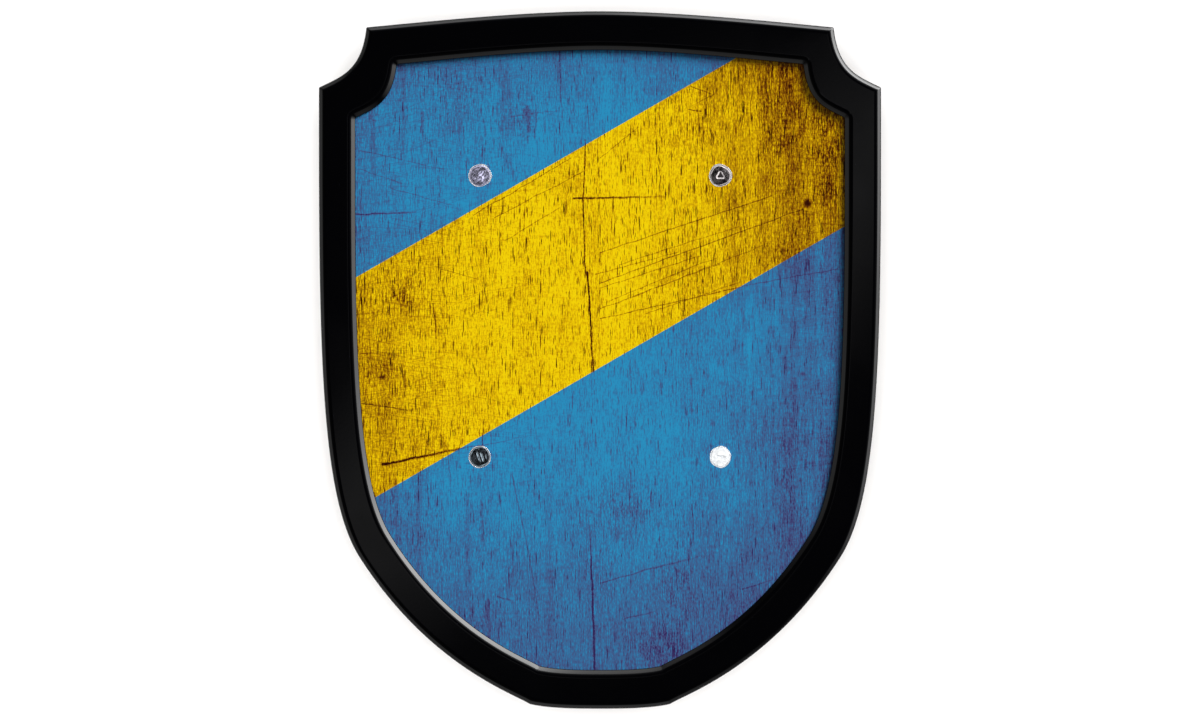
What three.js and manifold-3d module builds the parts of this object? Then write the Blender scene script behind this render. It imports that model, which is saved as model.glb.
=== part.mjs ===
// A toy heater shield of painted plywood, lying face up on the two arm straps of its back.
// Millimetres, +Z up. The origin is on the surface that the straps rest on, below the middle of
// the outline. +Y points to the shield's top edge, and +Z out of its painted face.

import * as THREE from "three";
import { mergeVertices } from "three/addons/utils/BufferGeometryUtils.js";
import Module from "manifold-3d";

const wasm = await Module();
wasm.setup();

// The curves of the outline's right half, each as two handles and an end, in order from the
// middle of the top edge to the middle of the bottom edge
const HEIGHT = 300;
const HALF_WIDTH = 120.9;
const TOP_EDGE = [[34.6, 150], [79, 145], [100.5, 143.1]];
const CORNER_SCOOP = [[102.4, 124.6], [111, 122], [HALF_WIDTH, 117.2]];
const STRAIGHT_SIDE_END = [HALF_WIDTH, 92.1];
const FLANK = [[HALF_WIDTH, -4.7], [119, -60.6], [103.3, -85.1]];
const LOWER_EDGE = [[73.5, -131.5], [37.1, -143.6], [30.1, -148]];
const BLUNT_TIP = [[22.5, -149.8], [11, -150], [0, -150]];
const OUTLINE_STEP = 5;

// The black frame: a moulding around the panel, with a chamfer on both of its front edges
const BORDER_SIDE = 15.7;
const BORDER_END = 16.7;
const OUTER_CHAMFER = 2.2;
const INNER_CHAMFER = 2.4;
const OPENING_CORNER_RADIUS = 1.2;
const FRAME_RISE = 3;
const REBATE = 6;
const REBATE_GAP = 0.3;

// The plywood panel that sits in the frame's rebate
const PANEL_THICKNESS = 5;

// The straps, one behind each column of rivets
const STRAP_WIDTH = 25;
const STRAP_THICKNESS = 2.5;
const STRAP_TAB = 11.5;
const STRAP_TAB_CORNER = 9;
const STRAP_FLAT_HALF = 20;
const STRAP_LEAVES_BOARD = 9;
const STRAP_BEND = 15;
const LOOP_DEPTH = 29.5;

// The rivets, which go through the panel and a strap's end
const RIVET_HALF_SPACING = 51.7;
const UPPER_RIVETS = 79.3;
const LOWER_RIVETS = -41.7;
const HEAD_RADIUS = 5.15;
const HEAD_HEIGHT = 1.5;
const SHANK_RADIUS = 2;
const SHANK_CLEARANCE = 0.3;
const TAIL_RADIUS = 4.2;
const TAIL_HEIGHT = 1.3;

// How finely the round shapes are divided, and how far a cutter runs past the faces it cuts
const ROUND_SIDES = 20;
const BEND_STEPS = 18;
const OPENING_CORNER_STEPS = 4;
const TAB_CORNER_STEPS = 6;
const SHARP_TURN = 0.3;
const PAST_FACE = 1;

// Heights above the resting surface
const BACK_Z = STRAP_THICKNESS + LOOP_DEPTH;
const PANEL_FACE_Z = BACK_Z + PANEL_THICKNESS;
const FRAME_FACE_Z = PANEL_FACE_Z + FRAME_RISE;

// A closed loop of the whole outline, anticlockwise, made narrower and shorter by the two scales
function outline(scaleX = 1, scaleY = 1) {
  const half = new THREE.Path();
  half.moveTo(0, HEIGHT / 2);
  half.bezierCurveTo(...TOP_EDGE.flat());
  half.bezierCurveTo(...CORNER_SCOOP.flat());
  half.lineTo(...STRAIGHT_SIDE_END);
  half.bezierCurveTo(...FLANK.flat());
  half.bezierCurveTo(...LOWER_EDGE.flat());
  half.bezierCurveTo(...BLUNT_TIP.flat());
  const right = [];
  for (const curve of half.curves) {
    const straight = curve instanceof THREE.LineCurve;
    const steps = straight ? 1 : Math.ceil(curve.getLength() / OUTLINE_STEP);
    right.push(...curve.getSpacedPoints(steps).slice(0, -1));
  }
  right.push(new THREE.Vector2(0, -HEIGHT / 2));
  const left = right.slice(1, -1).map((p) => new THREE.Vector2(-p.x, p.y));
  const loop = [...left, ...right.reverse()];
  return loop.map((p) => new THREE.Vector2(p.x * scaleX, p.y * scaleY));
}

// The unit vectors along the edges that meet at a loop's point
function edgesAt(loop, i) {
  const before = loop[(i + loop.length - 1) % loop.length];
  const after = loop[(i + 1) % loop.length];
  return [loop[i].clone().sub(before).normalize(), after.clone().sub(loop[i]).normalize()];
}

// The loop moved outwards by a distance, or inwards by a negative one, with mitred corners
function offset(loop, distance) {
  return loop.map((p, i) => {
    const [a, b] = edgesAt(loop, i);
    const mitre = new THREE.Vector2(a.y + b.y, -a.x - b.x);
    return p.clone().addScaledVector(mitre, distance / (1 + a.dot(b)));
  });
}

// The loop with a round in the place of each sharp corner
function roundCorners(loop, radius, steps) {
  return loop.flatMap((p, i) => {
    const [a, b] = edgesAt(loop, i);
    const turn = Math.acos(THREE.MathUtils.clamp(a.dot(b), -1, 1));
    if (turn < SHARP_TURN) return [p];
    const cut = radius * Math.tan(turn / 2);
    const round = new THREE.QuadraticBezierCurve(
      p.clone().addScaledVector(a, -cut),
      p,
      p.clone().addScaledVector(b, cut),
    );
    return round.getPoints(steps);
  });
}

// A closed surface through loops of the same number of points, from the lowest to the highest
function loft(...levels) {
  const count = levels[0].loop.length;
  const positions = levels.flatMap(({ loop, z }) => loop.flatMap((p) => [p.x, p.y, z]));
  const faces = [];
  for (let level = 0; level < levels.length - 1; level++) {
    for (let i = 0; i < count; i++) {
      const next = (i + 1) % count;
      const [a, b] = [level * count + i, level * count + next];
      faces.push(a, b, b + count, a, b + count, a + count);
    }
  }
  const top = (levels.length - 1) * count;
  for (const [a, b, c] of THREE.ShapeUtils.triangulateShape(levels[0].loop, [])) {
    faces.push(c, b, a);
  }
  for (const [a, b, c] of THREE.ShapeUtils.triangulateShape(levels.at(-1).loop, [])) {
    faces.push(top + a, top + b, top + c);
  }
  const geometry = new THREE.BufferGeometry();
  geometry.setAttribute("position", new THREE.Float32BufferAttribute(positions, 3));
  geometry.setIndex(faces);
  return geometry;
}

function prism(loop, fromZ, toZ) {
  return loft({ loop, z: fromZ }, { loop, z: toZ });
}

function toSolid(geometry) {
  const bare = geometry.clone();
  bare.deleteAttribute("normal");
  bare.deleteAttribute("uv");
  const merged = mergeVertices(bare, 1e-4);
  return new wasm.Manifold(
    new wasm.Mesh({
      numProp: 3,
      vertProperties: new Float32Array(merged.attributes.position.array),
      triVerts: new Uint32Array(merged.index.array),
    }),
  );
}

function toGeometry(solid) {
  const mesh = solid.getMesh();
  const geometry = new THREE.BufferGeometry();
  geometry.setAttribute("position", new THREE.BufferAttribute(mesh.vertProperties, 3));
  geometry.setIndex(new THREE.BufferAttribute(mesh.triVerts, 1));
  const flat = geometry.toNonIndexed();
  flat.computeVertexNormals();
  return flat;
}

// The solid less a round hole for each rivet, through everything between two heights
function drill(solid, rivets, fromZ, toZ) {
  const radius = SHANK_RADIUS + SHANK_CLEARANCE;
  const length = toZ - fromZ + 2 * PAST_FACE;
  return rivets.reduce((left, { x, y }) => {
    const bar = new THREE.CylinderGeometry(radius, radius, length, ROUND_SIDES);
    bar.rotateX(Math.PI / 2);
    bar.translate(x, y, (fromZ + toZ) / 2);
    return left.subtract(toSolid(bar));
  }, solid);
}

const openingLoop = roundCorners(
  outline(1 - BORDER_SIDE / HALF_WIDTH, 1 - (2 * BORDER_END) / HEIGHT),
  OPENING_CORNER_RADIUS,
  OPENING_CORNER_STEPS,
);

// The frame is one moulding: the full outline, less the opening with its flared edge, less the
// rebate that takes the panel from behind
function frameGeometry() {
  const rim = outline();
  const block = loft(
    { loop: rim, z: BACK_Z },
    { loop: rim, z: FRAME_FACE_Z - OUTER_CHAMFER },
    { loop: offset(rim, -OUTER_CHAMFER), z: FRAME_FACE_Z },
  );
  const opening = loft(
    { loop: openingLoop, z: PANEL_FACE_Z - PAST_FACE },
    { loop: openingLoop, z: FRAME_FACE_Z - INNER_CHAMFER },
    { loop: offset(openingLoop, INNER_CHAMFER + PAST_FACE), z: FRAME_FACE_Z + PAST_FACE },
  );
  const rebate = prism(offset(openingLoop, REBATE), BACK_Z - PAST_FACE, PANEL_FACE_Z);
  return toGeometry(toSolid(block).subtract(toSolid(rebate)).subtract(toSolid(opening)));
}

// The panel is one plywood sheet, cut to fit the rebate and drilled for the rivets
function panelGeometry(rivets) {
  const sheet = toSolid(prism(offset(openingLoop, REBATE - REBATE_GAP), BACK_Z, PANEL_FACE_Z));
  return toGeometry(drill(sheet, rivets, BACK_Z, PANEL_FACE_Z));
}

// A strap seen from its side, around the middle between its two rivets: flat against the board at
// both ends, down in a loop to the resting surface, and flat there
function strapSide(halfSpan) {
  const tabEnd = halfSpan + STRAP_TAB;
  const leaves = halfSpan - STRAP_LEAVES_BOARD;
  const high = BACK_Z - STRAP_THICKNESS / 2;
  const low = STRAP_THICKNESS / 2;
  const bend = new THREE.CubicBezierCurve(
    new THREE.Vector2(leaves, high),
    new THREE.Vector2(leaves - STRAP_BEND, high),
    new THREE.Vector2(STRAP_FLAT_HALF + STRAP_BEND, low),
    new THREE.Vector2(STRAP_FLAT_HALF, low),
  );
  const right = [new THREE.Vector2(tabEnd, high), ...bend.getPoints(BEND_STEPS)];
  const left = right.map((p) => new THREE.Vector2(-p.x, p.y)).reverse();
  const line = [...right, ...left];
  const side = (sign) =>
    line.map((p, i) => {
      const a = p.clone().sub(line[Math.max(i - 1, 0)]);
      const b = line[Math.min(i + 1, line.length - 1)].clone().sub(p);
      const [along, onwards] = [a.lengthSq() ? a : b, b.lengthSq() ? b : a];
      along.normalize();
      onwards.normalize();
      const mitre = new THREE.Vector2(-along.y - onwards.y, along.x + onwards.x);
      const reach = (sign * STRAP_THICKNESS) / 2 / (1 + along.dot(onwards));
      return p.clone().addScaledVector(mitre, reach);
    });
  return new THREE.Shape([...side(1), ...side(-1).reverse()]);
}

// A strap is one strip of leather with rounded ends and a hole for each of its rivets
function strapGeometry(x, rivets) {
  const [low, high] = rivets.map(({ y }) => y).sort((a, b) => a - b);
  const middle = (low + high) / 2;
  const strip = new THREE.ExtrudeGeometry(strapSide((high - low) / 2), {
    depth: STRAP_WIDTH,
    bevelEnabled: false,
  });
  // The side view's plane is turned upright, so that its first axis runs along Y
  strip.rotateX(Math.PI / 2);
  strip.rotateZ(Math.PI / 2);
  strip.translate(x - STRAP_WIDTH / 2, middle, 0);
  const [w, l] = [STRAP_WIDTH / 2, (high - low) / 2 + STRAP_TAB];
  const corners = [[-w, -l], [w, -l], [w, l], [-w, l]].map(
    ([u, v]) => new THREE.Vector2(x + u, middle + v),
  );
  const plan = roundCorners(corners, STRAP_TAB_CORNER, TAB_CORNER_STEPS);
  const cutter = toSolid(prism(plan, -PAST_FACE, BACK_Z + PAST_FACE));
  const blank = toSolid(strip).intersect(cutter);
  return toGeometry(drill(blank, rivets, BACK_Z - STRAP_THICKNESS, BACK_Z));
}

// A rivet is a shallow dished head with a rolled rim on the painted face, a shank, and a flat
// clenched tail on the strap. Its origin is on the panel's face
function rivetGeometry() {
  const grip = PANEL_THICKNESS + STRAP_THICKNESS;
  const profile = [
    [0, -grip - TAIL_HEIGHT],
    [TAIL_RADIUS * 0.72, -grip - TAIL_HEIGHT],
    [TAIL_RADIUS, -grip - TAIL_HEIGHT * 0.45],
    [TAIL_RADIUS, -grip],
    [SHANK_RADIUS, -grip],
    [SHANK_RADIUS, 0],
    [HEAD_RADIUS, 0],
    [HEAD_RADIUS, HEAD_HEIGHT * 0.4],
    [HEAD_RADIUS * 0.93, HEAD_HEIGHT * 0.66],
    [HEAD_RADIUS * 0.83, HEAD_HEIGHT * 0.5],
    [HEAD_RADIUS * 0.6, HEAD_HEIGHT * 0.84],
    [HEAD_RADIUS * 0.3, HEAD_HEIGHT],
    [HEAD_RADIUS * 0.14, HEAD_HEIGHT * 0.7],
    [0, HEAD_HEIGHT * 0.7],
  ].map(([radius, height]) => new THREE.Vector2(radius, height));
  const turned = new THREE.LatheGeometry(profile, ROUND_SIDES);
  turned.rotateX(Math.PI / 2);
  return toGeometry(toSolid(turned));
}

const paint = {
  frame: new THREE.MeshStandardMaterial({ color: 0x050506, roughness: 0.35, metalness: 0 }),
  panel: new THREE.MeshStandardMaterial({ color: 0x2f82b8, roughness: 0.55, metalness: 0 }),
  strap: new THREE.MeshStandardMaterial({ color: 0x2a1c14, roughness: 0.65, metalness: 0 }),
  rivet: new THREE.MeshStandardMaterial({ color: 0xc9c8cf, roughness: 0.22, metalness: 1 }),
};

function named(name, geometry, material) {
  const mesh = new THREE.Mesh(geometry, material);
  mesh.name = name;
  return mesh;
}

const shield = new THREE.Group();
const columns = [
  { side: "left", x: -RIVET_HALF_SPACING },
  { side: "right", x: RIVET_HALF_SPACING },
];
const rows = [
  { row: "upper", y: UPPER_RIVETS },
  { row: "lower", y: LOWER_RIVETS },
];
const rivets = columns.flatMap(({ side, x }) =>
  rows.map(({ row, y }) => ({ name: `rivet_${row}_${side}`, side, x, y })),
);

shield.add(named("frame", frameGeometry(), paint.frame));
shield.add(named("panel", panelGeometry(rivets), paint.panel));
for (const { side, x } of columns) {
  const itsRivets = rivets.filter((rivet) => rivet.side === side);
  shield.add(named(`arm_strap_${side}`, strapGeometry(x, itsRivets), paint.strap));
}
for (const { name, x, y } of rivets) {
  const rivet = named(name, rivetGeometry(), paint.rivet);
  rivet.position.set(x, y, PANEL_FACE_Z);
  shield.add(rivet);
}

export default shield;
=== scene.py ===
import math

import bpy
import numpy as np
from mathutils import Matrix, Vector, noise
from mathutils.geometry import tessellate_polygon


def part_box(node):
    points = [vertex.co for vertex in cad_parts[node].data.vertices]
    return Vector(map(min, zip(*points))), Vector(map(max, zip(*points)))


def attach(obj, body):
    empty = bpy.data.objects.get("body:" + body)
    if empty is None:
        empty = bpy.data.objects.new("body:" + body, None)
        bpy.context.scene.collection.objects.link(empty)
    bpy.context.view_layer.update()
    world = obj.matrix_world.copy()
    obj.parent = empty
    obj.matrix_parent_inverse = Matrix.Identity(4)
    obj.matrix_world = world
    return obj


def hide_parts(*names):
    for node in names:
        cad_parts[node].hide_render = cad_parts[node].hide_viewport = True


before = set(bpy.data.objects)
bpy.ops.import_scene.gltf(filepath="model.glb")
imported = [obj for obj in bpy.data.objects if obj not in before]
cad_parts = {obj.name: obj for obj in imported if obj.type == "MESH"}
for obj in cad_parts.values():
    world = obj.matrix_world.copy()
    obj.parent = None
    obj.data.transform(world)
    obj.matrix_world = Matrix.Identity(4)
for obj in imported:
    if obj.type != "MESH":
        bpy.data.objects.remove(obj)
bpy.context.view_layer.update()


# The panel is one sheet of beech plywood, 5 mm thick, sawn to the shape of the frame's opening
# with a tongue all round that lies in the frame's rebate. Its face is painted blue with a yellow
# band from corner to corner, and worn. Its back is bare, and its sawn edge takes the face's paint.
HEIGHT = 0.300
HALF_WIDTH = 0.1209
TOP_EDGE = ((0, 0.150), (0.0346, 0.150), (0.079, 0.145), (0.1005, 0.1431))
CORNER_SCOOP = ((0.1005, 0.1431), (0.1024, 0.1246), (0.111, 0.122), (HALF_WIDTH, 0.1172))
STRAIGHT_SIDE = ((HALF_WIDTH, 0.1172), (HALF_WIDTH, 0.109), (HALF_WIDTH, 0.100), (HALF_WIDTH, 0.0921))
FLANK = ((HALF_WIDTH, 0.0921), (HALF_WIDTH, -0.0047), (0.119, -0.0606), (0.1033, -0.0851))
LOWER_EDGE = ((0.1033, -0.0851), (0.0735, -0.1315), (0.0371, -0.1436), (0.0301, -0.148))
BLUNT_TIP = ((0.0301, -0.148), (0.0225, -0.1498), (0.011, -0.150), (0, -0.150))
OPENING_SCALE = (1 - 0.0157 / HALF_WIDTH, 1 - 2 * 0.0167 / HEIGHT)
REBATE = 0.0060
REBATE_GAP = 0.0003
RIVET_HALF_SPACING = 0.0517
UPPER_RIVETS = 0.0793
LOWER_RIVETS = -0.0417
RIVET_HOLE_RADIUS = 0.0023
BACK_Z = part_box("panel")[0][2]
PANEL_FACE_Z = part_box("panel")[1][2]


def along(*curves):
    """Close points along curves that follow each other, each given by its start, handles and end."""
    t = np.linspace(0, 1, 160)[:, None]
    runs = []
    for curve in curves:
        a, b, c, d = (np.array(p, dtype=float) for p in curve)
        run = (1 - t) ** 3 * a + 3 * (1 - t) ** 2 * t * b + 3 * (1 - t) * t**2 * c + t**3 * d
        runs.append(run if not runs else run[1:])
    return np.concatenate(runs)


def mirrored(points):
    return points[::-1] * (-1, 1)


def shield_stretches():
    """The outline's six sides between its six corners, clockwise from the upper left corner."""
    top = along(TOP_EDGE)
    scoop = along(CORNER_SCOOP)
    side = along(STRAIGHT_SIDE, FLANK, LOWER_EDGE)
    tip = along(BLUNT_TIP)
    top_edge = np.concatenate([mirrored(top), top[1:]])
    lower_tip = np.concatenate([tip, mirrored(tip)[1:]])
    return [top_edge, scoop, side, lower_tip, mirrored(side), mirrored(scoop)]


def lengths(points):
    steps = np.linalg.norm(np.diff(points, axis=0), axis=1)
    return np.concatenate([[0], np.cumsum(steps)])


def shield_loop(scale=(1, 1), inset=0.0, corner=0.0006, spacing=0.0016, corner_steps=6):
    """A loop round the shield, moved inwards by inset, with its six corners rounded. Loops of any
    inset and corner have the same number of points, so they can be joined side to side."""
    counts = [round(lengths(side)[-1] / spacing) for side in shield_stretches()]
    sides = [side * scale for side in shield_stretches()]
    headings = []
    for side in sides:
        step = np.gradient(side, axis=0)
        headings.append(step / np.linalg.norm(step, axis=1)[:, None])
    turns = []
    for before, after in zip(headings, headings[1:] + headings[:1]):
        turns.append(math.acos(max(-1, min(1, float(before[-1] @ after[0])))))
    trimmed = []
    for i, (side, heading) in enumerate(zip(sides, headings)):
        run = lengths(side)
        cut_before = (inset + corner) * math.tan(turns[i - 1] / 2)
        cut_after = (inset + corner) * math.tan(turns[i] / 2)
        where = np.linspace(cut_before, run[-1] - cut_after, counts[i])
        inwards = np.column_stack([heading[:, 1], -heading[:, 0]])
        moved = side + inset * inwards
        points = [np.interp(where, run, moved[:, axis]) for axis in (0, 1)]
        facing = [np.interp(where, run, heading[:, axis]) for axis in (0, 1)]
        trimmed.append((np.column_stack(points), np.column_stack(facing)))
    loop = []
    for (points, facing), (onward, onward_facing) in zip(trimmed, trimmed[1:] + trimmed[:1]):
        loop.append(points)
        start, end = points[-1], onward[0]
        reach = np.linalg.solve(np.column_stack([facing[-1], onward_facing[0]]), end - start)
        middle = start + facing[-1] * reach[0]
        t = np.linspace(0, 1, corner_steps + 1)[1:-1, None]
        loop.append((1 - t) ** 2 * start + 2 * (1 - t) * t * middle + t**2 * end)
    return np.concatenate(loop)


def new_piece(name, points, faces, materials, face_materials=None, smooth=True):
    mesh = bpy.data.meshes.new(name)
    mesh.from_pydata([tuple(p) for p in points], [], faces)
    for material in materials:
        mesh.materials.append(material)
    if face_materials is not None:
        mesh.polygons.foreach_set("material_index", face_materials)
    mesh.polygons.foreach_set("use_smooth", [smooth] * len(mesh.polygons))
    mesh.update()
    piece = bpy.data.objects.new(name, mesh)
    bpy.context.collection.objects.link(piece)
    return piece


def add(tree, kind, inputs=None, **settings):
    """A node of that kind, with its settings made and its inputs set or linked."""
    made = tree.nodes.new("ShaderNode" + kind)
    for setting, value in settings.items():
        setattr(made, setting, value)
    for socket, value in (inputs or {}).items():
        if isinstance(value, bpy.types.NodeSocket):
            tree.links.new(value, made.inputs[socket])
        else:
            made.inputs[socket].default_value = value
    return made


def sum_of(tree, operation, a, b=0.0, c=0.0, clamp=False):
    made = add(tree, "Math", {0: a, 1: b, 2: c}, operation=operation, use_clamp=clamp)
    return made.outputs[0]


def fade(tree, value, low, high, to_low=0.0, to_high=1.0, kind="SMOOTHSTEP"):
    """value from low to high, turned into to_low to to_high, and held at both ends."""
    inputs = {"Value": value, "From Min": low, "From Max": high, "To Min": to_low, "To Max": to_high}
    return add(tree, "MapRange", inputs, interpolation_type=kind).outputs[0]


def stretched(tree, place, scale, turn=0.0):
    """A place in millimetres, turned about Z and then scaled."""
    turned = add(tree, "VectorRotate", {"Vector": place, "Angle": turn}, rotation_type="Z_AXIS")
    sized = add(tree, "VectorMath", {0: turned.outputs[0], 1: scale}, operation="MULTIPLY")
    return sized.outputs[0]


def new_effect(name, inputs, outputs):
    """A node group with named sockets, and its place to work in."""
    tree = bpy.data.node_groups.new(name, "ShaderNodeTree")
    for label, (kind, value) in inputs.items():
        socket = tree.interface.new_socket(label, in_out="INPUT", socket_type="NodeSocket" + kind)
        if value is not None:
            socket.default_value = value
    for label in outputs:
        tree.interface.new_socket(label, in_out="OUTPUT", socket_type="NodeSocketFloat")
    given = tree.nodes.new("NodeGroupInput")
    made = tree.nodes.new("NodeGroupOutput")
    return tree, given.outputs, made.inputs


def place(tree, effect, inputs):
    """An effect's group, put into a material with the material's own values."""
    made = add(tree, "Group", node_tree=effect)
    for socket, value in inputs.items():
        if isinstance(value, bpy.types.NodeSocket):
            tree.links.new(value, made.inputs[socket])
        else:
            made.inputs[socket].default_value = value
    return made.outputs


def new_finish(name):
    """A material, its node tree, its shader, and the place on the piece in millimetres."""
    finish = bpy.data.materials.new(name)
    finish.use_nodes = True
    tree = finish.node_tree
    shader = tree.nodes["Principled BSDF"]
    here = add(tree, "TexCoord").outputs["Object"]
    in_mm = add(tree, "VectorMath", {0: here, 1: (1000, 1000, 1000)}, operation="MULTIPLY")
    return finish, tree, shader, in_mm.outputs[0]


def bump(tree, height, depth_mm, strength=1.0):
    inputs = {"Height": height, "Distance": depth_mm / 1000, "Strength": strength}
    return add(tree, "Bump", inputs).outputs[0]


def beech_grain():
    """Upright beech seen flat: soft bands, long and short fibres, and the dark dashes of its pores."""
    sockets = {"Place": ("Vector", None), "Fibre width": ("Float", 0.5), "Pore share": ("Float", 0.2)}
    tree, given, made = new_effect("beech grain", sockets, ("Bands", "Fibres", "Pores"))
    bands = add(tree, "TexNoise", {"Vector": stretched(tree, given["Place"], (0.09, 0.008, 1)),
                                   "Scale": 1.0, "Detail": 3.0, "Roughness": 0.6}, noise_dimensions="2D")
    tree.links.new(bands.outputs[0], made["Bands"])
    across = sum_of(tree, "DIVIDE", 1.0, given["Fibre width"])
    fibres = 0.0
    for length_share, width_share, amount in ((3.0, 1.0, 0.5), (16.0, 0.85, 0.5)):
        size = add(tree, "CombineXYZ", {"X": sum_of(tree, "DIVIDE", across, width_share),
                                        "Y": sum_of(tree, "DIVIDE", across, length_share), "Z": 1.0})
        fibre_place = add(tree, "VectorMath", {0: given["Place"], 1: size.outputs[0]}, operation="MULTIPLY")
        threads = add(tree, "TexNoise", {"Vector": fibre_place.outputs[0], "Scale": 1.0, "Detail": 1.0,
                                         "Roughness": 0.6}, noise_dimensions="2D")
        fibres = sum_of(tree, "MULTIPLY_ADD", threads.outputs[0], amount, fibres)
    tree.links.new(fibres, made["Fibres"])
    pores = 0.0
    for cell, share_scale in (((2.5, 0.23, 1), 1.0), ((1.6, 0.12, 1), 0.5)):
        cells = add(tree, "TexVoronoi", {"Vector": stretched(tree, given["Place"], cell),
                                         "Scale": 1.0, "Randomness": 1.0}, voronoi_dimensions="2D")
        pick = add(tree, "SeparateColor", {0: cells.outputs["Color"]})
        chosen = sum_of(tree, "LESS_THAN", pick.outputs[0],
                        sum_of(tree, "MULTIPLY", given["Pore share"], share_scale))
        size = fade(tree, pick.outputs[1], 0, 1, 0.2, 0.5, "LINEAR")
        near = sum_of(tree, "SUBTRACT", 1, sum_of(tree, "DIVIDE", cells.outputs["Distance"], size),
                      clamp=True)
        inside = sum_of(tree, "MULTIPLY", near, 2, clamp=True)
        depth = fade(tree, pick.outputs[2], 0, 1, 0.4, 1, "LINEAR")
        pore = sum_of(tree, "MULTIPLY", sum_of(tree, "MULTIPLY", inside, chosen), depth)
        pores = sum_of(tree, "MAXIMUM", pores, pore)
    tree.links.new(pores, made["Pores"])
    return tree


def scored_line():
    """A crack or scratch from one place to another, fading towards its end."""
    sockets = {"Place": ("Vector", None), "So far": ("Float", 0.0), "Broken": ("Float", 1.0),
               "From": ("Vector", None), "To": ("Vector", None), "Width": ("Float", 0.5),
               "Dark": ("Float", 0.5), "Left at end": ("Float", 0.3)}
    tree, given, made = new_effect("scored line", sockets, ("Marks",))
    line = add(tree, "VectorMath", {0: given["To"], 1: given["From"]}, operation="SUBTRACT").outputs[0]
    away = add(tree, "VectorMath", {0: given["Place"], 1: given["From"]}, operation="SUBTRACT").outputs[0]
    shadow = add(tree, "VectorMath", {0: away, 1: line}, operation="DOT_PRODUCT").outputs["Value"]
    square = add(tree, "VectorMath", {0: line, 1: line}, operation="DOT_PRODUCT").outputs["Value"]
    # Held from 0 to 1 by these two, because a clamped node is worked out last, and 60 of those are too many
    not_past_end = sum_of(tree, "MINIMUM", sum_of(tree, "DIVIDE", shadow, square), 1)
    share = sum_of(tree, "MAXIMUM", not_past_end, 0)
    foot = add(tree, "VectorMath", {0: line, "Scale": share}, operation="SCALE").outputs[0]
    gap = add(tree, "VectorMath", {0: away, 1: foot}, operation="DISTANCE").outputs["Value"]
    inside = fade(tree, gap, sum_of(tree, "MULTIPLY", given["Width"], 0.5), 0)
    fainter = sum_of(tree, "SUBTRACT", given["Left at end"], 1)
    dark = sum_of(tree, "MULTIPLY", given["Dark"], sum_of(tree, "MULTIPLY_ADD", share, fainter, 1))
    mark = sum_of(tree, "MULTIPLY", sum_of(tree, "MULTIPLY", inside, dark), given["Broken"])
    tree.links.new(sum_of(tree, "MAXIMUM", given["So far"], mark), made["Marks"])
    return tree


def dark_patch():
    """A ragged oval that darkens the paint, for dirt, wear and knots, and for painted shade beside the
    frame.
    """
    sockets = {"Place": ("Vector", None), "So far": ("Float", 0.0), "Ragged": ("Float", 1.0),
               "Middle": ("Vector", None), "Reach": ("Vector", None), "Dark": ("Float", 0.2)}
    tree, given, made = new_effect("dark patch", sockets, ("Darkening",))
    away = add(tree, "VectorMath", {0: given["Place"], 1: given["Middle"]}, operation="SUBTRACT").outputs[0]
    scaled = add(tree, "VectorMath", {0: away, 1: given["Reach"]}, operation="DIVIDE").outputs[0]
    far = add(tree, "VectorMath", {0: scaled}, operation="LENGTH").outputs["Value"]
    inside = sum_of(tree, "MULTIPLY", fade(tree, far, 1, 0), given["Ragged"])
    patch = sum_of(tree, "MULTIPLY", inside, given["Dark"])
    tree.links.new(sum_of(tree, "ADD", given["So far"], patch), made["Darkening"])
    return tree


BEECH_GRAIN = beech_grain()
SCORED_LINE = scored_line()
DARK_PATCH = dark_patch()


def paint_colour(red, green, blue, light=1.12):
    """A colour as the eye reads it, from 0 to 255, as the share of light that the paint returns."""
    shares = []
    for level in (red, green, blue):
        share = level / 255
        linear = share / 12.92 if share <= 0.04045 else ((share + 0.055) / 1.055) ** 2.4
        shares.append(linear / light)
    return (*shares, 1)


def worn_colours(tree, wear_and_shade, stops, most_wear=1.2):
    ramp = add(tree, "ValToRGB", {0: sum_of(tree, "DIVIDE", wear_and_shade, most_wear)})
    elements = ramp.color_ramp.elements
    while len(elements) < len(stops):
        elements.new(0.5)
    for element, (amount, colour) in zip(elements, stops):
        element.position = amount / most_wear
        element.color = paint_colour(*colour)
    return ramp.outputs[0]


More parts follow.
